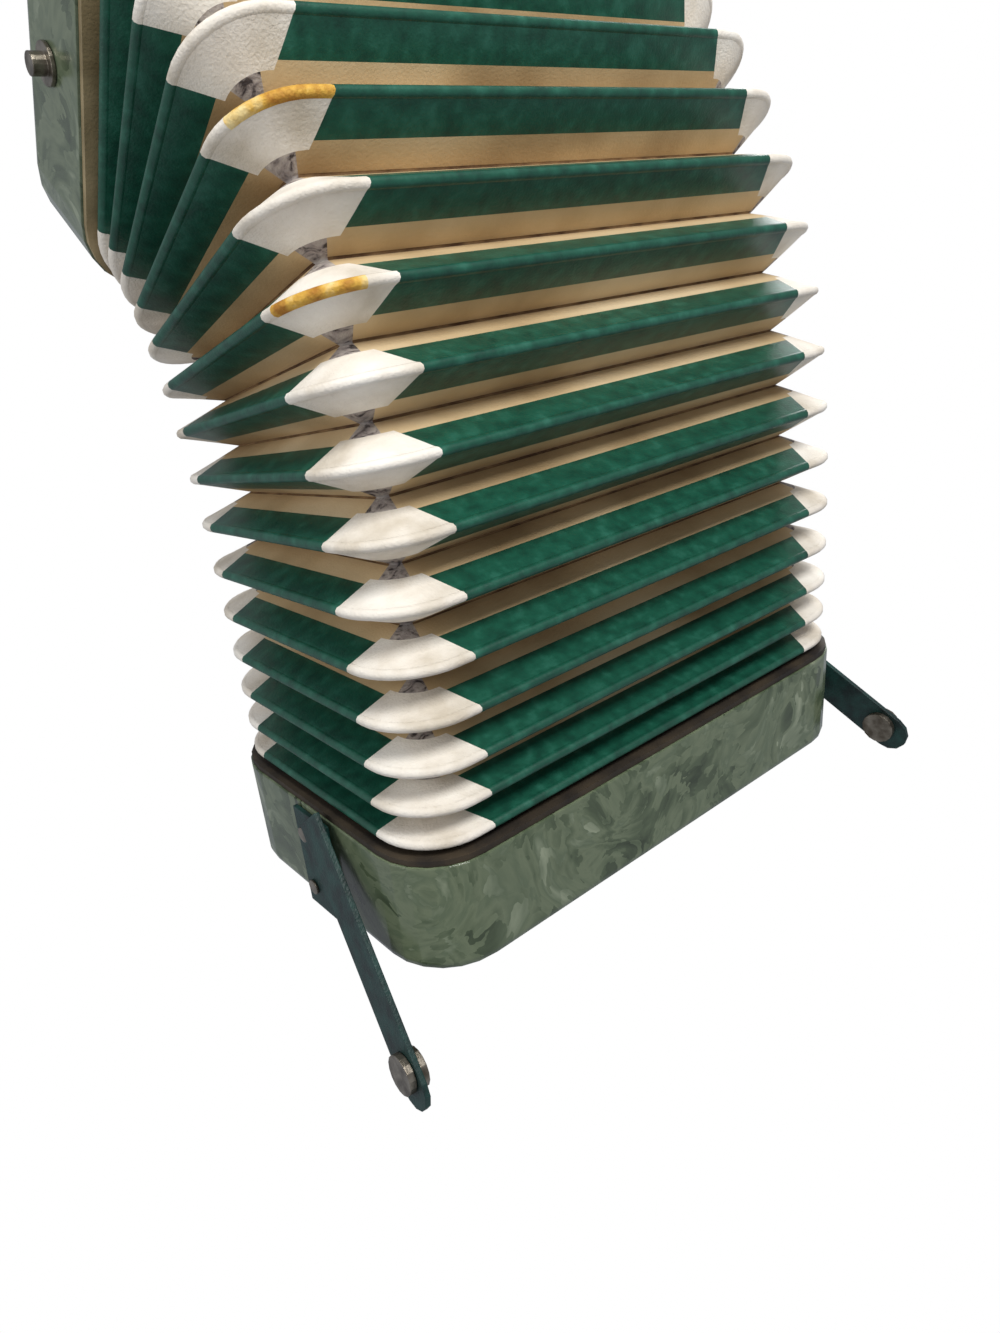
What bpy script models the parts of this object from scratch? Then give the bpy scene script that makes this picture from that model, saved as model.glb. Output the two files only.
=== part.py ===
"""A diatonic button accordion with its bellows hanging open in a fan, held by its treble casing.
Metres, +Z up. The origin is the middle of the grille's outer face. X runs along the long side."""

import math

import bmesh
import bpy
from mathutils import Matrix, Vector

# Bellows folds
RIDGE_LENGTH = 0.280
RIDGE_WIDTH = 0.152
RIDGE_RADIUS = 0.028
FOLDS = 15
CLOSED_PITCH = 0.0055
TURN_MOST = math.radians(9.0)
TURN_HALFWAY = 8.8
TURN_SPREAD = 2.2
PITCH_MOST = 0.0224
PITCH_DROP = 0.008
PITCH_MIDDLE = 8.0
PITCH_REACH = 7.0
RIM_DEPTH = 0.0052
RIM_NOSE = 0.0022
RIM_THICKNESS = 0.0040
VALLEY_INSET = 0.0215
CARD_INSET = 0.0016
CORNER_STEPS = 6

# Casings
WALL_OVERHANG = 0.003
CASE_WALL = 0.005
BASS_GAP = 0.0075
BASS_HEIGHT = 0.051
TREBLE_GAP = 0.0105
TREBLE_TURN = math.radians(3.0)
TREBLE_HEIGHT = 0.046
FRAME_HEIGHT = 0.0028
FRAME_WIDTH = 0.012
BOARD_THICKNESS = 0.004
TREBLE_BOARD = 0.026
BASS_BOARD = 0.030
COVER_THICKNESS = 0.003
COVER_GAP = 0.0003
EDGE_ROUND = 0.0045

# Treble keys
KEYS = 10
KEY_PITCH = 0.020
BOARD_REACH = 0.046
FINGERBOARD_LENGTH = 0.226
FINGERBOARD_WALL = 0.003
LEVER_WIDTH = 0.006
LEVER_THICKNESS = 0.003
BUTTON_RADIUS = 0.0065
BUTTON_HOLE = 0.0078
BUTTON_HEIGHT = 0.012
PALLET_LENGTH = 0.026
PALLET_WIDTH = 0.014
PALLET_THICKNESS = 0.003
AXLE_RADIUS = 0.001
AXLE_CLEARANCE = 0.0003

# Bass keys and reeds
BASS_KEYS = 4
BASS_KEY_PITCH = 0.022
PLUNGER_RADIUS = 0.0055
PLUNGER_CLEARANCE = 0.0005
PLUNGER_OUT = 0.008
FLANGE_RADIUS = 0.008
REED_BLOCK_LENGTH = 0.200
REED_BLOCK_WIDTH = 0.030
REED_BLOCK_HEIGHT = 0.018
REED_PLATE = 0.0015

# Straps
HAND_STRAP_SHARE = 0.843
HAND_STRAP_RISE = 0.015
HAND_STRAP_WIDTH = 0.028
STRAP_WIDTH = 0.020
STRAP_THICKNESS = 0.0024
BASE_WIDTH = 0.026
BASE_LENGTH = 0.050
BASE_THICKNESS = 0.002
RIVET_RADIUS = 0.0035
CAP_RADIUS = 0.0085
CAP_THICKNESS = 0.003
STUD_RADIUS = 0.0075
STUD_HEIGHT = 0.006
STUD_DEPTH = 0.025
SEAT = 0.0003


def clear_scene():
    for thing in list(bpy.data.objects):
        bpy.data.objects.remove(thing)


clear_scene()
PARTS = bpy.data.collections.new("accordion")
CUTTERS = bpy.data.collections.new("cutters")
bpy.context.scene.collection.children.link(PARTS)
bpy.context.scene.collection.children.link(CUTTERS)


def material(name, color, roughness, metallic=0.0):
    made = bpy.data.materials.new(name)
    made.use_nodes = True
    shader = made.node_tree.nodes["Principled BSDF"]
    shader.inputs["Base Color"].default_value = (*color, 1.0)
    shader.inputs["Roughness"].default_value = roughness
    shader.inputs["Metallic"].default_value = metallic
    return made


PEARL = material("pearloid", (0.22, 0.25, 0.17), 0.3)
TAPE = material("green_tape", (0.02, 0.13, 0.09), 0.5)
CARD = material("card", (0.55, 0.42, 0.26), 0.8)
LEATHER = material("strap_leather", (0.02, 0.05, 0.05), 0.6)
WOOD = material("wood", (0.55, 0.40, 0.24), 0.6)
STEEL = material("steel", (0.45, 0.42, 0.38), 0.35, 1.0)
BUTTON = material("button", (0.85, 0.82, 0.74), 0.3)
BRASS = material("brass", (0.70, 0.55, 0.28), 0.35, 1.0)


def fold_turn(k):
    """The angle that opens between fold k and fold k + 1."""
    return TURN_MOST / (1 + math.exp(-(k - TURN_HALFWAY) / TURN_SPREAD))


def fold_pitch(k):
    """The middle distance between fold k and fold k + 1."""
    return PITCH_MOST - PITCH_DROP * ((k - PITCH_MIDDLE) / PITCH_REACH) ** 2


def plane_matrix(middle, turn):
    """The frame of a plane whose width axis has turned down by the angle."""
    c, s = math.cos(turn), math.sin(turn)
    return Matrix(
        ((1, 0, 0, 0), (0, c, s, middle[0]), (0, -s, c, middle[1]), (0, 0, 0, 1))
    )


def stack():
    """The frames of the folds from the bass side, and of the treble casing's rim."""
    y, z, turn = 0.0, 0.0, 0.0
    frames = [plane_matrix((y, z), turn)]
    for k in range(1, FOLDS + 1):
        last = k == FOLDS
        step = TREBLE_TURN if last else fold_turn(k)
        pitch = TREBLE_GAP if last else fold_pitch(k)
        y += pitch * math.sin(turn + step / 2)
        z += pitch * math.cos(turn + step / 2)
        turn += step
        frames.append(plane_matrix((y, z), turn))
    return frames


FRAMES = stack()
GRILLE_TOP = FRAMES[-1] @ Vector((0, 0, TREBLE_HEIGHT))
SHIFT = Matrix.Translation(-GRILLE_TOP)
FRAMES = [SHIFT @ m for m in FRAMES]
TREBLE = FRAMES[-1]
BASS = FRAMES[0] @ Matrix.Translation((0, 0, -BASS_GAP))


def rounded(inset=0.0, steps=CORNER_STEPS):
    """Points of the fold outline, drawn in by inset, with round corners."""
    half_x, half_y = RIDGE_LENGTH / 2 - inset, RIDGE_WIDTH / 2 - inset
    radius = max(RIDGE_RADIUS - inset, 0.002)
    points = []
    for quarter, (sx, sy) in enumerate(((1, 1), (-1, 1), (-1, -1), (1, -1))):
        for i in range(steps + 1):
            angle = math.pi / 2 * (quarter + i / steps)
            points.append(
                (
                    sx * (half_x - radius) + radius * math.cos(angle),
                    sy * (half_y - radius) + radius * math.sin(angle),
                )
            )
    return points


def finish(name, mesh, mat, where, collection=PARTS):
    made = bpy.data.objects.new(name, mesh)
    made.matrix_world = where
    collection.objects.link(made)
    mesh.materials.append(mat)
    if collection is CUTTERS:
        made.hide_render = True
        made.display_type = "WIRE"
    return made


def loft(name, rings, mat, where=Matrix.Identity(4)):
    """A closed ring through unlike outlines: each ring of points is joined to the next and the last to the first."""
    shape = bmesh.new()
    loops = [[shape.verts.new(p) for p in ring] for ring in rings]
    count = len(loops[0])
    for a, b in zip(loops, loops[1:] + loops[:1]):
        for i in range(count):
            j = (i + 1) % count
            shape.faces.new((a[i], a[j], b[j], b[i]))
    bmesh.ops.triangulate(shape, faces=shape.faces)
    bmesh.ops.recalc_face_normals(shape, faces=shape.faces)
    mesh = bpy.data.meshes.new(name)
    shape.to_mesh(mesh)
    shape.free()
    return finish(name, mesh, mat, where)


def prism(name, outline, low, high, mat, where, collection=PARTS):
    """A flat outline raised from low to high."""
    shape = bmesh.new()
    face = shape.faces.new([shape.verts.new((x, y, low)) for x, y in outline])
    raised = bmesh.ops.extrude_face_region(shape, geom=[face])
    tops = [v for v in raised["geom"] if isinstance(v, bmesh.types.BMVert)]
    bmesh.ops.translate(shape, vec=(0, 0, high - low), verts=tops)
    bmesh.ops.recalc_face_normals(shape, faces=shape.faces)
    mesh = bpy.data.meshes.new(name)
    shape.to_mesh(mesh)
    shape.free()
    return finish(name, mesh, mat, where, collection)


def block(name, size, middle, mat, where, collection=PARTS):
    """A box from its size and middle."""
    shape = bmesh.new()
    bmesh.ops.create_cube(shape, size=1.0)
    bmesh.ops.scale(shape, vec=size, verts=shape.verts)
    bmesh.ops.translate(shape, vec=middle, verts=shape.verts)
    mesh = bpy.data.meshes.new(name)
    shape.to_mesh(mesh)
    shape.free()
    return finish(name, mesh, mat, where, collection)


def disc(name, radius, depth, middle, mat, where, axis="Z", sides=16, collection=PARTS):
    """A cylinder from its radius, depth and middle."""
    shape = bmesh.new()
    bmesh.ops.create_cone(
        shape, cap_ends=True, segments=sides, radius1=radius, radius2=radius, depth=depth
    )
    if axis == "X":
        turn = Matrix.Rotation(math.pi / 2, 3, "Y")
        bmesh.ops.rotate(shape, matrix=turn, verts=shape.verts)
    bmesh.ops.translate(shape, vec=middle, verts=shape.verts)
    mesh = bpy.data.meshes.new(name)
    shape.to_mesh(mesh)
    shape.free()
    return finish(name, mesh, mat, where, collection)


def combine(target, others, operation):
    """Cuts the others from the target, or joins them to it."""
    for other in others:
        if other.name in PARTS.objects:
            PARTS.objects.unlink(other)
            CUTTERS.objects.link(other)
            other.hide_render = True
            other.display_type = "WIRE"
        step = target.modifiers.new(operation.lower(), "BOOLEAN")
        step.operation = operation
        step.object = other
        step.solver = "EXACT"
    return target


def round_ring(made, height, width=EDGE_ROUND, segments=3):
    """Rounds the edges that lie at one height."""
    shape = bmesh.new()
    shape.from_mesh(made.data)
    edges = [e for e in shape.edges if all(abs(v.co.z - height) < 1e-6 for v in e.verts)]
    bmesh.ops.bevel(
        shape, geom=edges, offset=width, segments=segments, profile=0.5, affect="EDGES"
    )
    shape.to_mesh(made.data)
    shape.free()


def make_rims():
    half, nose = RIM_THICKNESS / 2, RIM_NOSE / 2
    section = ((0, -nose), (0, nose), (RIM_DEPTH, half), (RIM_DEPTH, -half))
    for k in range(FOLDS):
        rings = [[(x, y, n) for x, y in rounded(inset)] for inset, n in section]
        loft(f"fold_rim_{k + 1:02d}", rings, TAPE, FRAMES[k])


def halfway(a, b):
    """The frame midway between two frames."""
    turn_a = math.atan2(a[1][2], a[1][1])
    turn_b = math.atan2(b[1][2], b[1][1])
    middle = (a.translation + b.translation) / 2
    return plane_matrix((middle.y, middle.z), (turn_a + turn_b) / 2)


def make_pleats():
    """The folded card from the bass frame to the treble frame, one closed tube."""
    peak = RIM_DEPTH + SEAT
    stops = [(BASS @ Matrix.Translation((0, 0, FRAME_HEIGHT + SEAT)), peak + 0.004)]
    for k in range(FOLDS):
        stops.append((FRAMES[k], peak))
        following = FRAMES[k + 1]
        if k == FOLDS - 1:
            following = TREBLE @ Matrix.Translation((0, 0, -FRAME_HEIGHT - SEAT))
        stops.append((halfway(FRAMES[k], following), VALLEY_INSET))
    end = TREBLE @ Matrix.Translation((0, 0, -FRAME_HEIGHT - SEAT))
    stops.append((end, peak + 0.004))
    outside = [[m @ Vector((x, y, 0)) for x, y in rounded(inset)] for m, inset in stops]
    inside = [
        [m @ Vector((x, y, 0)) for x, y in rounded(inset + CARD_INSET)]
        for m, inset in stops
    ]
    loft("bellows_card", outside + inside[::-1], CARD)


def make_frame(name, low, high, where):
    """A wooden bellows frame: a flat ring on a casing's rim."""
    outer = rounded(-WALL_OVERHANG + 0.0008)
    inner = rounded(FRAME_WIDTH)
    rings = [
        [(x, y, low) for x, y in outer],
        [(x, y, high) for x, y in outer],
        [(x, y, high) for x, y in inner],
        [(x, y, low) for x, y in inner],
    ]
    loft(name, rings, WOOD, where)


def make_case(name, low, high, board_low, where, far_end):
    """A casing wall with a board across it, open on both sides, its far edge rounded."""
    case = prism(name, rounded(-WALL_OVERHANG), low, high, PEARL, where)
    round_ring(case, far_end)
    over = 0.01
    inner = rounded(CASE_WALL - WALL_OVERHANG)
    board_high = board_low + BOARD_THICKNESS
    under = prism(name + "_under", inner, low - over, board_low, PEARL, where, CUTTERS)
    above = prism(name + "_above", inner, board_high, high + over, PEARL, where, CUTTERS)
    combine(case, [under, above], "DIFFERENCE")
    return case


def key_x(i):
    return (i - (KEYS - 1) / 2) * KEY_PITCH


FINGERBOARD_TOP = TREBLE_HEIGHT + 0.002
LEVER_HEIGHT = TREBLE_BOARD + BOARD_THICKNESS + PALLET_THICKNESS + 0.003
EDGE = -RIDGE_WIDTH / 2 - WALL_OVERHANG
PALLET_Y = EDGE + CASE_WALL + 0.006 + PALLET_LENGTH / 2
BUTTON_Y = EDGE - BOARD_REACH + 0.016
AXLE_Y = EDGE - 0.012


def make_treble():
    case = make_case("treble_case", 0, TREBLE_HEIGHT, TREBLE_BOARD, TREBLE, TREBLE_HEIGHT)
    slot = block(
        "lever_slot",
        (FINGERBOARD_LENGTH - 4 * FINGERBOARD_WALL, 4 * CASE_WALL, 0.009),
        (0, EDGE, LEVER_HEIGHT + 0.0005),
        PEARL,
        TREBLE,
        CUTTERS,
    )
    holes = [slot]
    for i in range(KEYS):
        holes.append(
            block(
                f"tone_hole_{i}",
                (PALLET_WIDTH - 0.006, PALLET_LENGTH - 0.008, 4 * BOARD_THICKNESS),
                (key_x(i), PALLET_Y, TREBLE_BOARD),
                PEARL,
                TREBLE,
                CUTTERS,
            )
        )
    combine(case, holes, "DIFFERENCE")
    make_frame("treble_frame", -FRAME_HEIGHT, -SEAT, TREBLE)
    grille_outline = rounded(CASE_WALL - WALL_OVERHANG + COVER_GAP)
    grille = prism(
        "grille",
        grille_outline,
        TREBLE_HEIGHT - COVER_THICKNESS,
        TREBLE_HEIGHT,
        PEARL,
        TREBLE,
    )
    slits = []
    for i in range(9):
        for side in (-1, 1):
            slits.append(
                block(
                    f"slit_{i}_{side}",
                    (0.011, 0.034, 4 * COVER_THICKNESS),
                    ((i - 4) * 0.024, side * 0.030 + 0.004, TREBLE_HEIGHT),
                    PEARL,
                    TREBLE,
                    CUTTERS,
                )
            )
    combine(grille, slits, "DIFFERENCE")
    make_fingerboard()
    make_treble_keys()
    block(
        "treble_reed_block",
        (REED_BLOCK_LENGTH, REED_BLOCK_WIDTH, REED_BLOCK_HEIGHT),
        (0, PALLET_Y, TREBLE_BOARD - SEAT - REED_BLOCK_HEIGHT / 2),
        WOOD,
        TREBLE,
    )
    block(
        "treble_reed_plate",
        (REED_BLOCK_LENGTH - 0.004, REED_PLATE, REED_BLOCK_HEIGHT - 0.004),
        (
            0,
            PALLET_Y + REED_BLOCK_WIDTH / 2 + SEAT + REED_PLATE / 2,
            TREBLE_BOARD - SEAT - REED_BLOCK_HEIGHT / 2,
        ),
        BRASS,
        TREBLE,
    )
    for side, sign in (("left", -1), ("right", 1)):
        wall = sign * (RIDGE_LENGTH / 2 + WALL_OVERHANG)
        stud = disc(
            f"{side}_stud",
            STUD_RADIUS,
            0.0015,
            (wall + sign * (SEAT + 0.00075), 0, STUD_DEPTH),
            STEEL,
            TREBLE,
            "X",
        )
        knob = disc(
            f"{side}_stud_knob",
            STUD_RADIUS * 0.55,
            STUD_HEIGHT,
            (wall + sign * (SEAT + STUD_HEIGHT / 2 + 0.0008), 0, STUD_DEPTH),
            STEEL,
            TREBLE,
            "X",
        )
        combine(stud, [knob], "UNION")


def make_fingerboard():
    """A hollow board along the casing's side, open towards the casing, with a hole for each button."""
    depth = 0.018
    near = EDGE - SEAT
    length = BOARD_REACH - SEAT
    board = block(
        "fingerboard",
        (FINGERBOARD_LENGTH, length, depth),
        (0, near - length / 2, FINGERBOARD_TOP - depth / 2),
        WOOD,
        TREBLE,
    )
    inner_height = depth - 2 * FINGERBOARD_WALL
    hollow = block(
        "fingerboard_hollow",
        (FINGERBOARD_LENGTH - 2 * FINGERBOARD_WALL, length, inner_height),
        (0, near - length / 2 + FINGERBOARD_WALL, FINGERBOARD_TOP - depth / 2),
        WOOD,
        TREBLE,
        CUTTERS,
    )
    holes = [hollow]
    for i in range(KEYS):
        holes.append(
            disc(
                f"button_hole_{i}",
                BUTTON_HOLE,
                4 * FINGERBOARD_WALL,
                (key_x(i), BUTTON_Y, FINGERBOARD_TOP),
                WOOD,
                TREBLE,
                sides=20,
                collection=CUTTERS,
            )
        )
    combine(board, holes, "DIFFERENCE")
    disc(
        "key_axle",
        AXLE_RADIUS,
        FINGERBOARD_LENGTH - 2 * FINGERBOARD_WALL - 2 * SEAT,
        (0, AXLE_Y, LEVER_HEIGHT),
        STEEL,
        TREBLE,
        "X",
        8,
    )


def make_treble_keys():
    """Each key is one piece: button, lever with its axle hole, and pallet."""
    for i in range(KEYS):
        far = PALLET_Y + PALLET_LENGTH / 2
        start = BUTTON_Y - BUTTON_RADIUS
        key = block(
            f"treble_key_{i + 1:02d}",
            (LEVER_WIDTH, far - start, LEVER_THICKNESS),
            (key_x(i), (far + start) / 2, LEVER_HEIGHT),
            BUTTON,
            TREBLE,
        )
        button = disc(
            f"button_{i}",
            BUTTON_RADIUS,
            BUTTON_HEIGHT,
            (key_x(i), BUTTON_Y, LEVER_HEIGHT + BUTTON_HEIGHT / 2),
            BUTTON,
            TREBLE,
        )
        foot = LEVER_HEIGHT - TREBLE_BOARD - BOARD_THICKNESS - SEAT
        pallet = block(
            f"pallet_{i}",
            (PALLET_WIDTH, PALLET_LENGTH, foot),
            (key_x(i), PALLET_Y, LEVER_HEIGHT - foot / 2),
            BUTTON,
            TREBLE,
        )
        combine(key, [button, pallet], "UNION")
        hole = disc(
            f"axle_hole_{i}",
            AXLE_RADIUS + AXLE_CLEARANCE,
            3 * LEVER_WIDTH,
            (key_x(i), AXLE_Y, LEVER_HEIGHT),
            BUTTON,
            TREBLE,
            "X",
            8,
            CUTTERS,
        )
        combine(key, [hole], "DIFFERENCE")


def bass_key_x(i):
    return (i - (BASS_KEYS - 1) / 2) * BASS_KEY_PITCH


def make_bass():
    floor = -BASS_HEIGHT
    case = make_case("bass_case", floor, 0, floor + BASS_BOARD, BASS, floor)
    vent = block(
        "bass_tone_hole",
        (0.10, 0.016, 4 * BOARD_THICKNESS),
        (0, 0, floor + BASS_BOARD),
        PEARL,
        BASS,
        CUTTERS,
    )
    combine(case, [vent], "DIFFERENCE")
    make_frame("bass_frame", SEAT, FRAME_HEIGHT, BASS)
    cover = prism(
        "bass_cover",
        rounded(CASE_WALL - WALL_OVERHANG + COVER_GAP),
        floor,
        floor + COVER_THICKNESS,
        PEARL,
        BASS,
    )
    holes = []
    for i in range(BASS_KEYS):
        holes.append(
            disc(
                f"plunger_hole_{i}",
                PLUNGER_RADIUS + PLUNGER_CLEARANCE,
                4 * COVER_THICKNESS,
                (bass_key_x(i), 0.036, floor),
                PEARL,
                BASS,
                collection=CUTTERS,
            )
        )
    combine(cover, holes, "DIFFERENCE")
    for i in range(BASS_KEYS):
        length = PLUNGER_OUT + COVER_THICKNESS + 0.003
        inside = floor + COVER_THICKNESS
        key = disc(
            f"bass_key_{i + 1}",
            PLUNGER_RADIUS,
            length,
            (bass_key_x(i), 0.036, inside + 0.003 - length / 2),
            BUTTON,
            BASS,
        )
        flange = disc(
            f"flange_{i}",
            FLANGE_RADIUS,
            0.003,
            (bass_key_x(i), 0.036, inside + SEAT + 0.0015),
            BUTTON,
            BASS,
        )
        combine(key, [flange], "UNION")
    block(
        "bass_reed_block",
        (0.110, REED_BLOCK_WIDTH, REED_BLOCK_HEIGHT),
        (0, 0, floor + BASS_BOARD + BOARD_THICKNESS + SEAT + REED_BLOCK_HEIGHT / 2),
        WOOD,
        BASS,
    )
    block(
        "bass_reed_plate",
        (0.104, REED_PLATE, REED_BLOCK_HEIGHT - 0.004),
        (
            0,
            REED_BLOCK_WIDTH / 2 + SEAT + REED_PLATE / 2,
            floor + BASS_BOARD + BOARD_THICKNESS + SEAT + REED_BLOCK_HEIGHT / 2,
        ),
        BRASS,
        BASS,
    )
    half = RIDGE_LENGTH * HAND_STRAP_SHARE / 2
    side = [
        (half, -HAND_STRAP_RISE + 0.0015),
        (half - 0.008, -SEAT),
        (half - 0.018, -SEAT),
        (half - 0.028, -HAND_STRAP_RISE + 0.003),
    ]
    lower = [(-x, z) for x, z in side] + side[::-1]
    upper = [(half - 0.018, -HAND_STRAP_RISE), (0.018 - half, -HAND_STRAP_RISE)]
    strap = prism(
        "hand_strap",
        lower + upper,
        -HAND_STRAP_WIDTH / 2,
        HAND_STRAP_WIDTH / 2,
        LEATHER,
        BASS
        @ Matrix.Translation((0, -0.026, floor))
        @ Matrix.Rotation(math.pi / 2, 4, "X"),
    )
    return strap


# Strap routes: the crease and the tip, outward from the end of fold 1 and from its middle line
STRAP_ROUTES = {
    "left": ((0.0068, -0.004, -0.008), (0.020, -0.084, -0.102)),
    "right": ((0.0068, -0.004, -0.008), (0.020, -0.106, -0.068)),
}


def strap_frame(side):
    """The strap's frame at its crease: X across the leather's thickness, Y along, Z across its width."""
    sign = -1 if side == "left" else 1
    start, tip = (
        Vector((sign * (RIDGE_LENGTH / 2 + x), y, z)) for x, y, z in STRAP_ROUTES[side]
    )
    along = (tip - start).normalized()
    out = Vector((sign, 0, 0))
    out = (out - along * out.dot(along)).normalized()
    across = out.cross(along)
    frame = Matrix((out, along, across)).transposed().to_4x4()
    frame.translation = start
    return FRAMES[0] @ frame, (tip - start).length


def make_straps():
    for side, sign in (("left", -1), ("right", 1)):
        wall = sign * (RIDGE_LENGTH / 2 + WALL_OVERHANG)
        block(
            f"{side}_strap_base",
            (BASE_THICKNESS, BASE_WIDTH, BASE_LENGTH),
            (wall + sign * (SEAT + BASE_THICKNESS / 2), 0, -0.002 - BASE_LENGTH / 2),
            LEATHER,
            BASS,
        )
        for number, drop in ((1, 0.014), (2, 0.042)):
            disc(
                f"{side}_rivet_{number}",
                RIVET_RADIUS,
                0.001,
                (wall + sign * (2 * SEAT + BASE_THICKNESS + 0.0005), 0.007, -drop),
                STEEL,
                BASS,
                "X",
                12,
            )
        where, length = strap_frame(side)
        half = STRAP_WIDTH / 2
        outline = [(half, 0), (half, length - half)]
        for i in range(1, 6):
            angle = math.pi * i / 6
            outline.append((half * math.cos(angle), length - half + half * math.sin(angle)))
        outline += [(-half, length - half), (-half, 0)]
        turned = where @ Matrix(((0, 0, 1, 0), (0, 1, 0, 0), (-1, 0, 0, 0), (0, 0, 0, 1)))
        prism(
            f"{side}_strap",
            outline,
            -STRAP_THICKNESS / 2,
            STRAP_THICKNESS / 2,
            LEATHER,
            turned,
        )
        for name, way in (("cap", -1), ("socket", 1)):
            disc(
                f"{side}_snap_{name}",
                CAP_RADIUS,
                CAP_THICKNESS,
                (
                    way * (STRAP_THICKNESS / 2 + SEAT + CAP_THICKNESS / 2),
                    length - 0.016,
                    0,
                ),
                STEEL,
                where,
                "X",
            )


make_rims()
make_pleats()
make_treble()
make_bass()
make_straps()
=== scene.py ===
import math

import bmesh
import bpy
import numpy as np
from mathutils import Matrix, Vector


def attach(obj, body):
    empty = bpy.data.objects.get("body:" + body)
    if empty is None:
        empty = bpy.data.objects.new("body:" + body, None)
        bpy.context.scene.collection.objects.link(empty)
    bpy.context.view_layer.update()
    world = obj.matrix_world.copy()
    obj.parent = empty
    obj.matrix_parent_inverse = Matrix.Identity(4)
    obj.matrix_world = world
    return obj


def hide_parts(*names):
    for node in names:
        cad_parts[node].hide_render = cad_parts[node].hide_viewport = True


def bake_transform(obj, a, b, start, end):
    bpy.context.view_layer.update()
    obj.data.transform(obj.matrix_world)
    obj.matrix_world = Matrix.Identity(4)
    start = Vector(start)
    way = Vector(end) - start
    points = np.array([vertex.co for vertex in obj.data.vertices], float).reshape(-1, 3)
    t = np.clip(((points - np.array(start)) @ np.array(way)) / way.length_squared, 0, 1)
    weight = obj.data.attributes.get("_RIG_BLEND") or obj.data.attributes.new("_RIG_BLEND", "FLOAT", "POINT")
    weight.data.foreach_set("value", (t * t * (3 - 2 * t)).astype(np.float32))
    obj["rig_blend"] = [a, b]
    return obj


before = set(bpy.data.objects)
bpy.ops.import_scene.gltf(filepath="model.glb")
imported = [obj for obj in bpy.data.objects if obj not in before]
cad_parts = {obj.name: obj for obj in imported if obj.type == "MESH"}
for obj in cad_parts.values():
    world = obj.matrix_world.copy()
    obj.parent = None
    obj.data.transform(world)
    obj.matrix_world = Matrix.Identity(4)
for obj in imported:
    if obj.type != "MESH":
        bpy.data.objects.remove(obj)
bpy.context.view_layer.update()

# Bellows shape, as in the part
RIDGE_LENGTH = 0.280
RIDGE_WIDTH = 0.152
RIDGE_RADIUS = 0.028
FOLDS = 15
TURN_MOST = math.radians(9.0)
TURN_HALFWAY = 8.8
TURN_SPREAD = 2.2
PITCH_MOST = 0.0224
PITCH_DROP = 0.008
PITCH_MIDDLE = 8.0
PITCH_REACH = 7.0
TREBLE_TURN = math.radians(3.0)
TREBLE_GAP = 0.0105
TREBLE_HEIGHT = 0.046
BASS_GAP = 0.0075
FRAME_HEIGHT = 0.0028

# Bellows looks
CORNER_LONG = 0.0358
CORNER_SHORT = 0.0302
CORNER_STEPS = 10
STRAIGHT_STEPS = 6
NOSE_HALF = 0.0021
NOSE_DEPTH = 0.0045
LEG_START = 0.0024
TAPE_END = 0.0130
LEATHER_END = 0.0155
# Inset where the band of painted valley shade begins.
CREASE_START = 0.0222
VALLEY = 0.0232
TORN_FOLDS = {12: (4, 11), 10: (2, 9)}
GUSSET_COLUMNS = (3, CORNER_STEPS - 2)
NOSE_STEPS = 5
NOSE_ROUND = 0.55
NOSE_TUCK = 0.0006
LEG_MIDDLE = 0.0085
CARD_MIDDLE = 0.0190
FRAME_INSET = 0.0092
SEAT = 0.0003
LONG_TAPER = 0.45
SHORT_TAPER = 0.12
SMALLEST_RADIUS = 0.003

# Camera
FOCAL_PIXELS = 959
PICTURE_PIXELS = 1333
SENSOR = 36.0
CAMERA_PLACE = Vector((-0.1528, -0.2486, 0.2114))
CAMERA_AHEAD = Vector((0.566, 0.710, -0.419))
CAMERA_UP = Vector((0.335, 0.267, 0.904))


def plane_matrix(middle, turn):
    """The frame of a plane whose width axis has turned down by the angle."""
    c, s = math.cos(turn), math.sin(turn)
    return Matrix(
        ((1, 0, 0, 0), (0, c, s, middle[0]), (0, -s, c, middle[1]), (0, 0, 0, 1))
    )


def stack():
    """The frames of the folds from the bass side, and of the treble casing's rim."""
    y, z, turn = 0.0, 0.0, 0.0
    frames = [plane_matrix((y, z), turn)]
    for k in range(1, FOLDS + 1):
        last = k == FOLDS
        step = TURN_MOST / (1 + math.exp(-(k - TURN_HALFWAY) / TURN_SPREAD))
        pitch = PITCH_MOST - PITCH_DROP * ((k - PITCH_MIDDLE) / PITCH_REACH) ** 2
        step = TREBLE_TURN if last else step
        pitch = TREBLE_GAP if last else pitch
        y += pitch * math.sin(turn + step / 2)
        z += pitch * math.cos(turn + step / 2)
        turn += step
        frames.append(plane_matrix((y, z), turn))
    top = frames[-1] @ Vector((0, 0, TREBLE_HEIGHT))
    return [Matrix.Translation(-top) @ m for m in frames]


FRAMES = stack()


def linear(r, g, b):
    """A colour from its values on screen, 0 to 255."""
    return tuple((v / 255) ** 2.2 for v in (r, g, b)) + (1.0,)


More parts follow.
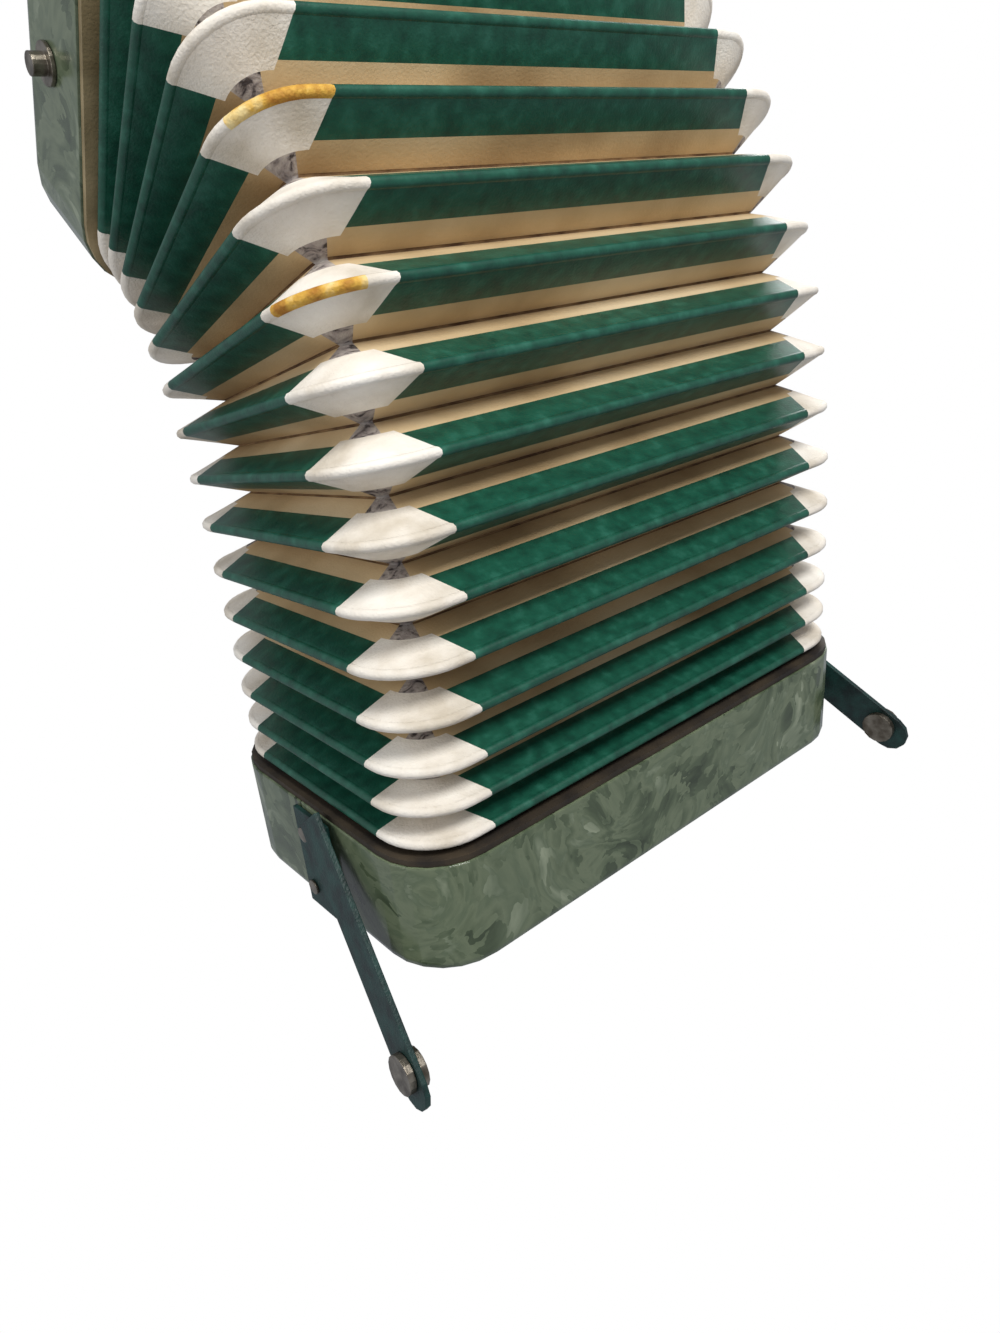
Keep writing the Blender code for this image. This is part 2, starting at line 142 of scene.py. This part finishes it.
def surface(
    name, stops, scale, roughness, bump, detail=8.0, stretch=(1, 1, 1), distortion=0.0, metallic=0.0
):
    """A mottled surface: noise through a colour ramp, with the same noise as a fine bump."""
    made = bpy.data.materials.new(name)
    made.use_nodes = True
    tree = made.node_tree
    shader = tree.nodes["Principled BSDF"]
    place = tree.nodes.new("ShaderNodeTexCoord")
    spread = tree.nodes.new("ShaderNodeMapping")
    spread.inputs["Scale"].default_value = stretch
    noise = tree.nodes.new("ShaderNodeTexNoise")
    noise.inputs["Scale"].default_value = scale
    noise.inputs["Detail"].default_value = detail
    noise.inputs["Distortion"].default_value = distortion
    ramp = tree.nodes.new("ShaderNodeValToRGB")
    ramp.color_ramp.elements[0].position = stops[0][0]
    ramp.color_ramp.elements[0].color = linear(*stops[0][1])
    ramp.color_ramp.elements[1].position = stops[-1][0]
    ramp.color_ramp.elements[1].color = linear(*stops[-1][1])
    for place_at, color in stops[1:-1]:
        ramp.color_ramp.elements.new(place_at).color = linear(*color)
    fine = tree.nodes.new("ShaderNodeTexNoise")
    fine.inputs["Scale"].default_value = 900
    fine.inputs["Detail"].default_value = 4
    relief = tree.nodes.new("ShaderNodeBump")
    relief.inputs["Strength"].default_value = bump
    relief.inputs["Distance"].default_value = 0.0006
    link = tree.links.new
    link(place.outputs["Object"], spread.inputs["Vector"])
    link(spread.outputs["Vector"], noise.inputs["Vector"])
    link(place.outputs["Object"], fine.inputs["Vector"])
    link(noise.outputs["Fac"], ramp.inputs["Fac"])
    link(ramp.outputs["Color"], shader.inputs["Base Color"])
    link(fine.outputs["Fac"], relief.inputs["Height"])
    link(relief.outputs["Normal"], shader.inputs["Normal"])
    shader.inputs["Roughness"].default_value = roughness
    shader.inputs["Metallic"].default_value = metallic
    return made


def add_shards(made):
    """Breaks the pearl's mottling into overlapping flakes."""
    tree = made.node_tree
    ramp = next(n for n in tree.nodes if n.type == "VALTORGB")
    noise = ramp.inputs["Fac"].links[0].from_node
    place = noise.inputs["Vector"].links[0].from_socket
    bend = tree.nodes.new("ShaderNodeVectorMath")
    bend.operation = "MULTIPLY_ADD"
    bend.inputs[1].default_value = (0.05, 0.05, 0.05)
    cells = tree.nodes.new("ShaderNodeTexVoronoi")
    cells.inputs["Scale"].default_value = 75
    tint = tree.nodes.new("ShaderNodeSeparateColor")
    mix = tree.nodes.new("ShaderNodeMix")
    mix.inputs["Factor"].default_value = 0.24
    link = tree.links.new
    link(noise.outputs["Color"], bend.inputs[0])
    link(place, bend.inputs[2])
    link(bend.outputs["Vector"], cells.inputs["Vector"])
    link(cells.outputs["Color"], tint.inputs["Color"])
    link(noise.outputs["Fac"], mix.inputs["A"])
    link(tint.outputs["Red"], mix.inputs["B"])
    link(mix.outputs["Result"], ramp.inputs["Fac"])


def round_edges(made, radius):
    """Softens sharp edges in the light by the radius."""
    tree = made.node_tree
    edge = tree.nodes.new("ShaderNodeBevel")
    edge.inputs["Radius"].default_value = radius
    edge.samples = 6
    for node in tree.nodes:
        if node.type == "BUMP":
            tree.links.new(edge.outputs["Normal"], node.inputs["Normal"])


TAPE = surface(
    "tape",
    ((0.3, (14, 62, 48)), (0.55, (24, 80, 62)), (0.75, (42, 98, 80))),
    150, 0.42, 0.25,
)
LEATHER = surface(
    "corner",
    ((0.3, (196, 184, 164)), (0.5, (226, 217, 202)), (0.7, (240, 234, 222))),
    45, 0.75, 0.6,
)
TORN = surface(
    "torn",
    ((0.35, (168, 112, 30)), (0.5, (214, 166, 66)), (0.68, (235, 212, 150))),
    120, 0.7, 0.9,
)
CARD = surface(
    "board",
    ((0.3, (160, 132, 92)), (0.5, (196, 170, 128)), (0.7, (214, 192, 154))),
    14, 0.75, 0.3,
)
# The crease band's darker brown is painted shade for the shade deep in each fold's valley.
CREASE_SHADE = surface("crease", ((0.35, (84, 58, 34)), (0.65, (138, 108, 72))), 90, 0.85, 0.5)
GUSSET = surface(
    "gusset",
    ((0.36, (60, 52, 50)), (0.47, (150, 140, 134)), (0.7, (190, 180, 168))),
    150, 0.8, 0.9, distortion=2.0,
)
PEARL = surface(
    "pearl",
    (
        (0.26, (52, 62, 44)),
        (0.42, (82, 94, 70)),
        (0.52, (108, 118, 92)),
        (0.60, (92, 104, 80)),
        (0.76, (146, 154, 128)),
    ),
    26, 0.2, 0.03, detail=4.0, distortion=2.2,
)
WOOD = surface(
    "timber",
    ((0.35, (126, 96, 58)), (0.65, (176, 144, 98))),
    30, 0.5, 0.3, stretch=(0.15, 1, 1),
)
EDGE = surface("edge", ((0.35, (118, 102, 70)), (0.65, (160, 142, 106))), 40, 0.6, 0.3)
STRAP = surface("strap", ((0.35, (8, 34, 32)), (0.65, (26, 62, 56))), 110, 0.5, 0.5)
STEEL = surface("metal", ((0.35, (96, 88, 76)), (0.65, (150, 142, 128))), 160, 0.32, 0.15, metallic=0.9)
BUTTON = surface("bone", ((0.35, (222, 214, 194)), (0.65, (238, 232, 216))), 60, 0.25, 0.05)
BRASS = surface("plate", ((0.35, (150, 116, 56)), (0.65, (190, 156, 90))), 90, 0.35, 0.1, metallic=0.9)
DARK = surface("shadow_gap", ((0.35, (34, 28, 22)), (0.65, (62, 52, 38))), 60, 0.7, 0.3)
add_shards(PEARL)
EDGE_RADII = ((PEARL, 0.0015), (WOOD, 0.0012), (STRAP, 0.0007), (STEEL, 0.0006), (BUTTON, 0.0009))
for soft, radius in EDGE_RADII:
    round_edges(soft, radius)


def outline(inset):
    """Points round a fold at an inset, each with its zone, S for a straight run and C for a corner."""
    half_x, half_y = RIDGE_LENGTH / 2 - inset, RIDGE_WIDTH / 2 - inset
    radius = max(RIDGE_RADIUS - inset, SMALLEST_RADIUS)
    edge_x = RIDGE_LENGTH / 2 - CORNER_LONG + LONG_TAPER * min(inset, LEATHER_END)
    edge_y = RIDGE_WIDTH / 2 - CORNER_SHORT + SHORT_TAPER * min(inset, LEATHER_END)
    corners = []
    for quarter, (sx, sy) in enumerate(((1, 1), (-1, 1), (-1, -1), (1, -1))):
        short, long_ = (sx * half_x, sy * edge_y), (sx * edge_x, sy * half_y)
        first, last = (short, long_) if quarter % 2 == 0 else (long_, short)
        points = [first]
        for i in range(CORNER_STEPS + 1):
            angle = math.pi / 2 * (quarter + i / CORNER_STEPS)
            points.append(
                (
                    sx * (half_x - radius) + radius * math.cos(angle),
                    sy * (half_y - radius) + radius * math.sin(angle),
                )
            )
        points.append(last)
        corners.append(points)
    ring, zones = [], []
    for q in range(4):
        here, there = corners[q], corners[(q + 1) % 4]
        ring += here
        zones += [f"C{q}{i:02d}" for i in range(len(here) - 1)] + ["S"]
        for i in range(1, STRAIGHT_STEPS):
            t = i / STRAIGHT_STEPS
            ring.append(tuple(a * (1 - t) + b * t for a, b in zip(here[-1], there[0])))
            zones.append("S")
    return ring, zones


ZONES = outline(0.0)[1]
SLOTS = [TAPE, LEATHER, TORN, CARD, CREASE_SHADE, GUSSET]


def sheet(name, rows, kinds, wrap=False, torn=()):
    """A skin through rows of points, with a material for each row and zone."""
    shape = bmesh.new()
    loops = [[shape.verts.new(p) for p in row] for row in rows]
    count = len(loops[0])
    pairs = list(zip(loops, loops[1:])) + ([(loops[-1], loops[0])] if wrap else [])
    for r, (a, b) in enumerate(pairs):
        for i in range(count):
            j = (i + 1) % count
            face = shape.faces.new((a[i], a[j], b[j], b[i]))
            face.smooth = True
            zone = ZONES[i]
            face.material_index = paint(kinds[r], zone, torn)
    bmesh.ops.recalc_face_normals(shape, faces=shape.faces)
    mesh = bpy.data.meshes.new(name)
    shape.to_mesh(mesh)
    shape.free()
    for m in SLOTS:
        mesh.materials.append(m)
    made = bpy.data.objects.new(name, mesh)
    bpy.context.scene.collection.objects.link(made)
    return made


def paint(kind, zone, torn):
    """Which material a face takes from its row and its place round the fold."""
    corner = zone != "S"
    middle = corner and GUSSET_COLUMNS[0] <= int(zone[2:]) <= GUSSET_COLUMNS[1]
    if kind == "tape":
        if corner and zone[1] == "2" and torn and torn[0] <= int(zone[2:]) <= torn[1]:
            return 2
        return 1 if corner else 0
    if kind == "leather":
        return 1 if corner else 3
    # Crease rows take the painted valley shade, except the gusset paper in the middle of each corner.
    if kind == "crease":
        return 5 if middle else 4
    return 5 if middle else 3


def ring_points(where, inset, height):
    """The outline at an inset and a height above a fold's plane."""
    return [where @ Vector((x, y, height)) for x, y in outline(inset)[0]]


def body_name(fold):
    return "bass" if fold == 1 else f"fold_{fold:02d}"


def make_noses():
    """The rounded tape along each fold's ridge, with a white leather piece over each corner."""
    for k in range(1, FOLDS + 1):
        where = FRAMES[k - 1]
        rows = []
        for i in range(NOSE_STEPS + 1):
            angle = math.pi * (i / NOSE_STEPS - 0.5)
            inset = NOSE_DEPTH * (1 - math.cos(angle)) * NOSE_ROUND
            rows.append(ring_points(where, inset, NOSE_HALF * math.sin(angle)))
        rows.append(ring_points(where, NOSE_DEPTH, NOSE_HALF - NOSE_TUCK))
        rows.insert(0, ring_points(where, NOSE_DEPTH, -NOSE_HALF + NOSE_TUCK))
        torn = TORN_FOLDS.get(k, ())
        nose = sheet(f"fold_tape_{k:02d}", rows, ["tape"] * (len(rows)), True, torn)
        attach(nose, body_name(k))
        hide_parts(f"fold_rim_{k:02d}")


def halfway(a, b):
    """The frame midway between two frames."""
    turn_a = math.atan2(a[1][2], a[1][1])
    turn_b = math.atan2(b[1][2], b[1][1])
    middle = (a.translation + b.translation) / 2
    return plane_matrix((middle.y, middle.z), (turn_a + turn_b) / 2)


LEG_ROWS = (
    (LEG_START, "tape"),
    (LEG_MIDDLE, "tape"),
    (TAPE_END, "leather"),
    (LEATHER_END, "card"),
    (CARD_MIDDLE, "card"),
    # The band next to the valley is painted shade.
    (CREASE_START, "crease"),
)


def leg(ridge, valley, side):
    """Rows from a ridge to a valley, on the given side of the ridge."""
    rows = []
    for inset, kind in LEG_ROWS:
        t = (inset - LEG_START) / (VALLEY - LEG_START)
        high = ring_points(ridge, inset, side * NOSE_HALF)
        low = ring_points(valley, inset, 0)
        rows.append([h.lerp(v, t) for h, v in zip(high, low)])
    return rows


def make_legs():
    """The card between folds: one skin in each gap, which bends with the two folds beside it."""
    kinds = [kind for _, kind in LEG_ROWS]
    for k in range(1, FOLDS):
        low, high = FRAMES[k - 1], FRAMES[k]
        valley = halfway(low, high)
        rows = leg(low, valley, 1) + [ring_points(valley, VALLEY, 0)]
        rows += leg(high, valley, -1)[::-1]
        names = kinds + kinds[::-1]
        made = sheet(f"card_{k:02d}", rows, names)
        a, b = body_name(k + 1), body_name(k)
        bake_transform(made, a, b, start=high.translation, end=low.translation)
        insets = [inset for inset, _ in LEG_ROWS]
        share = []
        for r, inset in enumerate(insets + [VALLEY] + insets[::-1]):
            weight = 0.5 * (inset - LEG_START) / (VALLEY - LEG_START)
            share += [1 - weight if r < len(insets) else weight] * len(ZONES)
        data = made.data.attributes["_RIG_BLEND"].data
        data.foreach_set("value", np.array(share, dtype=np.float32))
        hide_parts("bellows_card")


def make_ends():
    """The last skins, from the outer folds to the wooden frames of the casings."""
    kinds = [kind for _, kind in LEG_ROWS]
    bass = FRAMES[0] @ Matrix.Translation((0, 0, -BASS_GAP + FRAME_HEIGHT + SEAT))
    treble = FRAMES[-1] @ Matrix.Translation((0, 0, -FRAME_HEIGHT - SEAT))
    valley = halfway(FRAMES[0], bass)
    rows = leg(FRAMES[0], valley, -1)
    rows += [ring_points(valley, VALLEY, 0), ring_points(bass, FRAME_INSET, 0)]
    made = sheet("card_bass_end", rows, kinds + ["card"])
    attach(made, "bass")
    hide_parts("bellows_card")
    valley = halfway(FRAMES[FOLDS - 1], treble)
    rows = leg(FRAMES[FOLDS - 1], valley, 1)
    rows += [ring_points(valley, VALLEY, 0), ring_points(treble, FRAME_INSET, 0)]
    made = sheet("card_treble_end", rows, kinds + ["card"])
    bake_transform(made, "treble", "fold_15", start=treble.translation, end=FRAMES[FOLDS - 1].translation)
    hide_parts("bellows_card")


def dress():
    """Gives each remaining node of the part its material."""
    looks = (
        ("reed_plate", BRASS), ("reed_block", WOOD), ("treble_key", BUTTON), ("bass_key", BUTTON),
        ("stud", STEEL), ("snap", STEEL), ("rivet", STEEL), ("axle", STEEL),
        ("strap", STRAP), ("bass_frame", DARK), ("frame", EDGE),
        ("fingerboard", PEARL), ("case", PEARL), ("grille", PEARL), ("cover", PEARL),
    )
    for name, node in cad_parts.items():
        for word, look in looks:
            if word in name and node.type == "MESH":
                node.data.materials.clear()
                node.data.materials.append(look)
                break


def make_light():
    """Soft light from three sides, and a white background for the camera."""
    scene = bpy.context.scene
    world = bpy.data.worlds.new("studio")
    scene.world = world
    world.use_nodes = True
    tree = world.node_tree
    tree.nodes.clear()
    out = tree.nodes.new("ShaderNodeOutputWorld")
    mix = tree.nodes.new("ShaderNodeMixShader")
    path = tree.nodes.new("ShaderNodeLightPath")
    shade = tree.nodes.new("ShaderNodeBackground")
    seen = tree.nodes.new("ShaderNodeBackground")
    shade.inputs["Color"].default_value = (0.86, 0.9, 1.0, 1)
    shade.inputs["Strength"].default_value = 0.42
    seen.inputs["Color"].default_value = (1, 1, 1, 1)
    tree.links.new(path.outputs["Is Camera Ray"], mix.inputs["Fac"])
    tree.links.new(shade.outputs[0], mix.inputs[1])
    tree.links.new(seen.outputs[0], mix.inputs[2])
    tree.links.new(mix.outputs[0], out.inputs["Surface"])
    corner = FRAMES[0] @ Vector((-RIDGE_LENGTH / 2, -RIDGE_WIDTH / 2, 0))
    for name, place, power, size in (
        ("key", (0.0, -0.55, 0.95), 10, 0.35),
        ("side", (-0.9, 0.2, 0.4), 3, 0.6),
        ("back", (0.9, 0.6, 0.6), 7, 0.6),
    ):
        lamp = bpy.data.lights.new(name, "AREA")
        lamp.energy = power
        lamp.size = size
        made = bpy.data.objects.new(name, lamp)
        made.location = corner + Vector(place)
        aim = corner + Vector((0.1, 0.06, 0.1)) - made.location
        made.rotation_euler = aim.to_track_quat("-Z", "Y").to_euler()
        scene.collection.objects.link(made)
    scene.view_settings.view_transform = "Standard"


def make_camera():
    """The photo's view."""
    scene = bpy.context.scene
    data = bpy.data.cameras.new("photo_view")
    data.sensor_fit = "VERTICAL"
    data.sensor_height = SENSOR
    data.lens = FOCAL_PIXELS * SENSOR / PICTURE_PIXELS
    data.clip_start = 0.01
    made = bpy.data.objects.new("photo_view", data)
    back = -CAMERA_AHEAD.normalized()
    right = CAMERA_UP.cross(back).normalized()
    up = back.cross(right)
    made.matrix_world = Matrix((right, up, back)).transposed().to_4x4()
    corner = FRAMES[0] @ Vector((-RIDGE_LENGTH / 2, -RIDGE_WIDTH / 2, 0))
    made.location = corner + CAMERA_PLACE
    scene.collection.objects.link(made)
    scene.camera = made


make_noses()
make_legs()
make_ends()
dress()
make_light()
make_camera()
